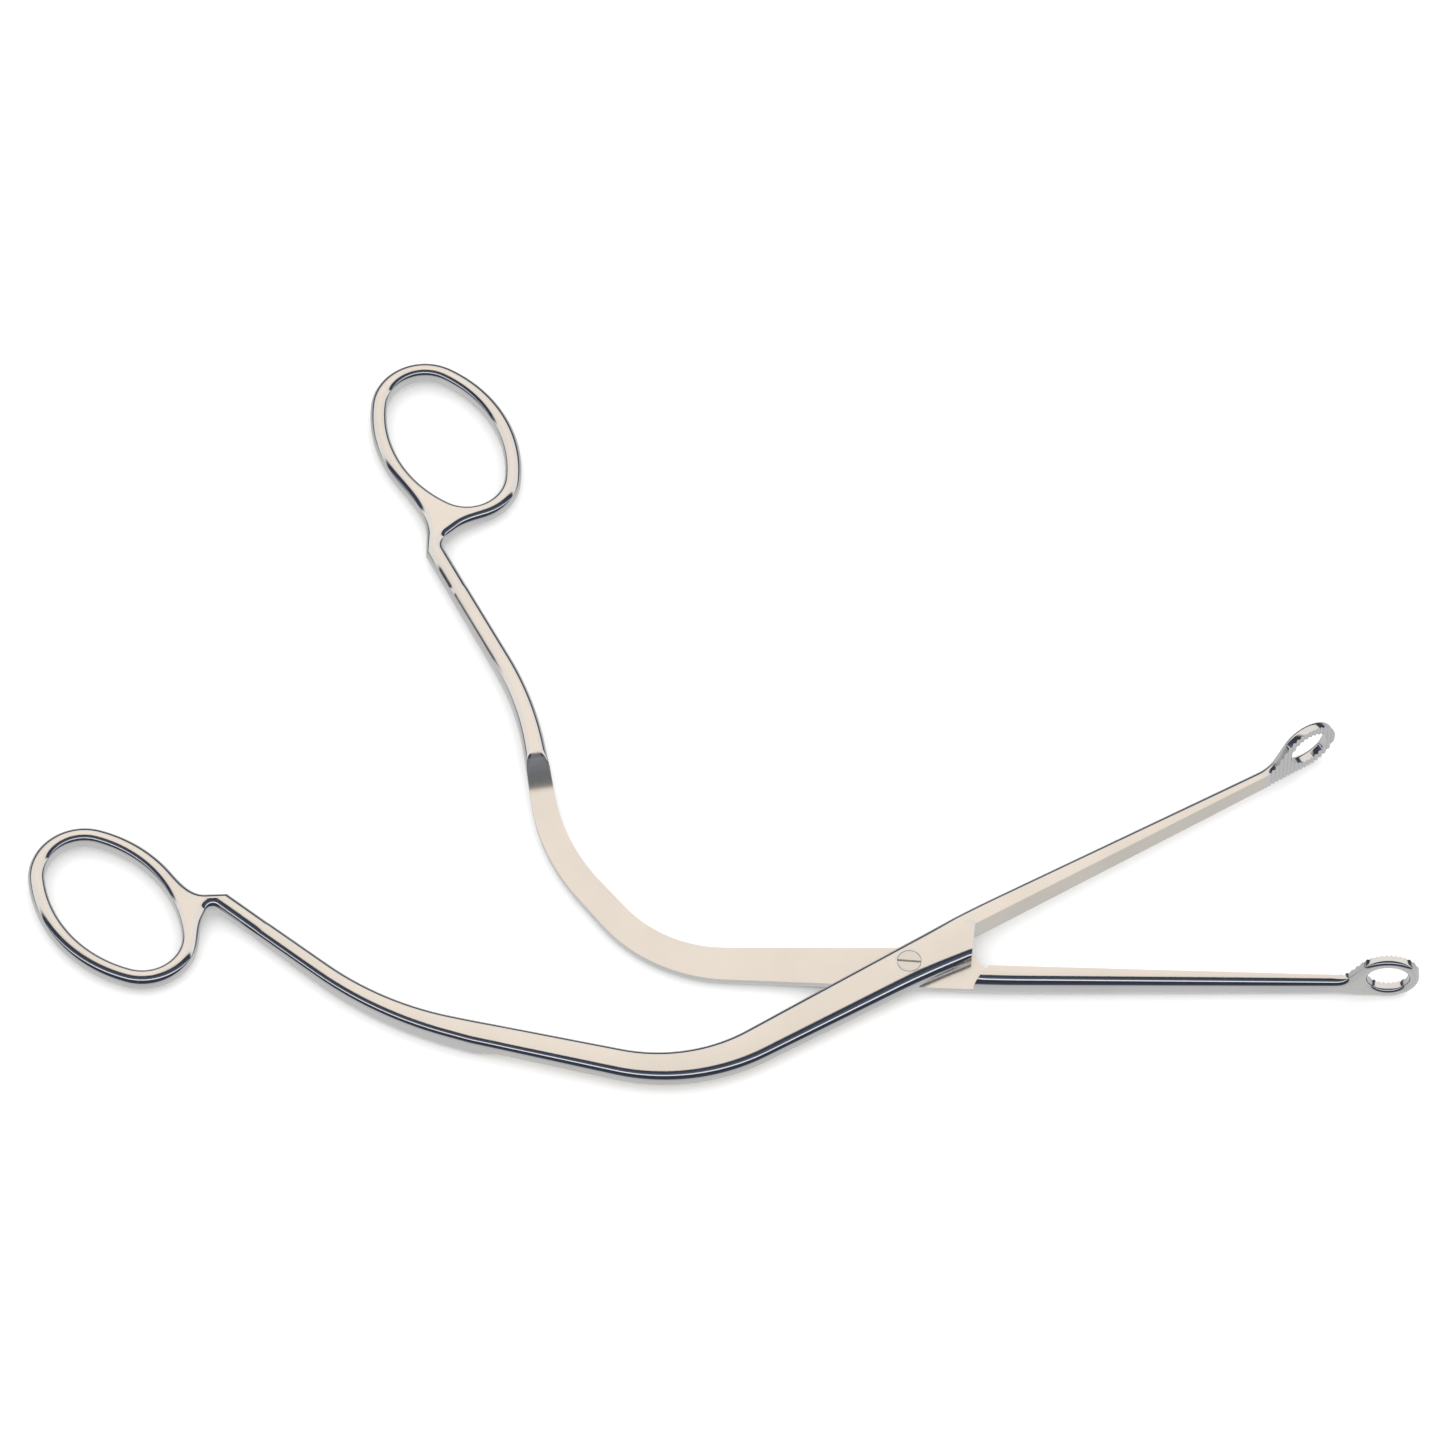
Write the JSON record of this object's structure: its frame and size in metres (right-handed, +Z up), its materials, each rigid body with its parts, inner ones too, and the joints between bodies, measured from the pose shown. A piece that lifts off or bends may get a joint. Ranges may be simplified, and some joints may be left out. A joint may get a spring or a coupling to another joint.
{
  "type": "intubating forceps",
  "caption": "Angled steel forceps with oval finger rings, crossed levers on a slotted screw and long jaws ending in toothed round eyes.",
  "frame": {"origin": "screw axis at the flat underside, which rests on the table", "axes": "+X along the lower lever's jaw towards its eye, +Y the side its handle bends to, +Z up along the screw towards its slotted head"},
  "size_m": [0.2569, 0.1589, 0.0114],
  "materials": {
    "polished_steel": "satin faces with mirror-polished sides",
    "screw_steel": "satin"
  },
  "bodies": {
    "lower_half": {"lower_lever": "polished_steel", "pivot_screw": "screw_steel"},
    "upper_half": {"upper_lever": "polished_steel"}
  },
  "joints": [
    {"name": "pivot", "type": "hinge", "parent": "lower_half", "child": "upper_half", "pos_m": [0, 0, 0.0025], "axis": [0, 0, 1], "range_deg": [-33.1, 105]}
  ]
}
